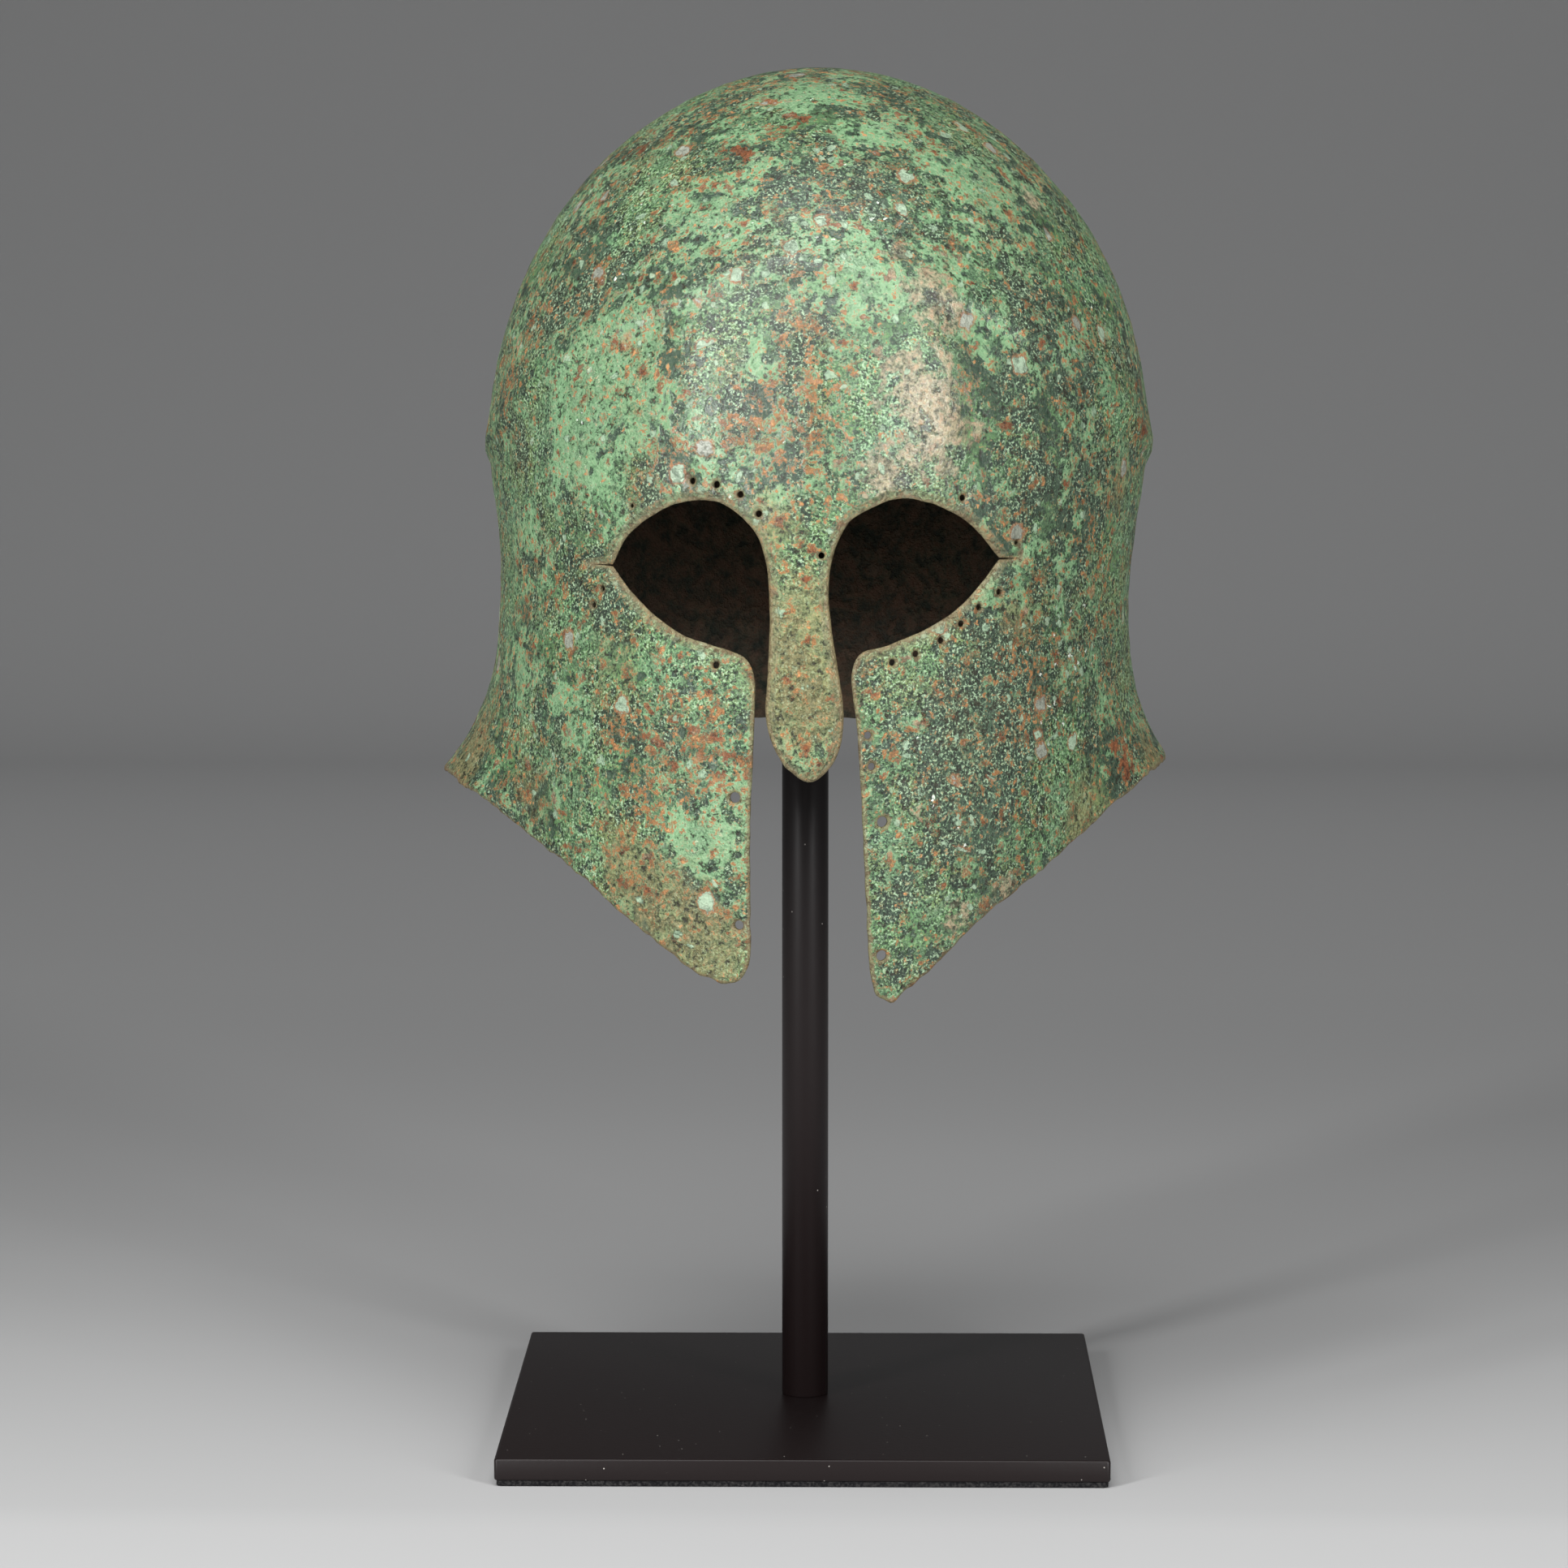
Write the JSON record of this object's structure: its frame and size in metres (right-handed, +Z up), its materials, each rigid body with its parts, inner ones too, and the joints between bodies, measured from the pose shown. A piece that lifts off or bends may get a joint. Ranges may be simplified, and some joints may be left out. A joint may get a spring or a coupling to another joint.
{
  "type": "corinthian helmet on display stand",
  "caption": "Patinated bronze helmet with almond eyes, long nose guard and pointed cheeks, held up by a round post on a square plate.",
  "frame": {"origin": "centre of the stand's underside, which rests on the table", "axes": "+Z up along the post; the helmet's face looks along -Y; +X is the wearer's left"},
  "size_m": [0.2176, 0.2572, 0.409],
  "materials": {
    "patinated_bronze": "rough green patina with brown, tan and pale crusts",
    "black_enamel": "satin",
    "black_felt": "felt"
  },
  "bodies": {
    "root": {"helmet_shell": "patinated_bronze", "base_plate": "black_enamel", "stand_post": "black_enamel", "felt_underlay": "black_felt", "crown_support": "black_felt"}
  },
  "joints": []
}
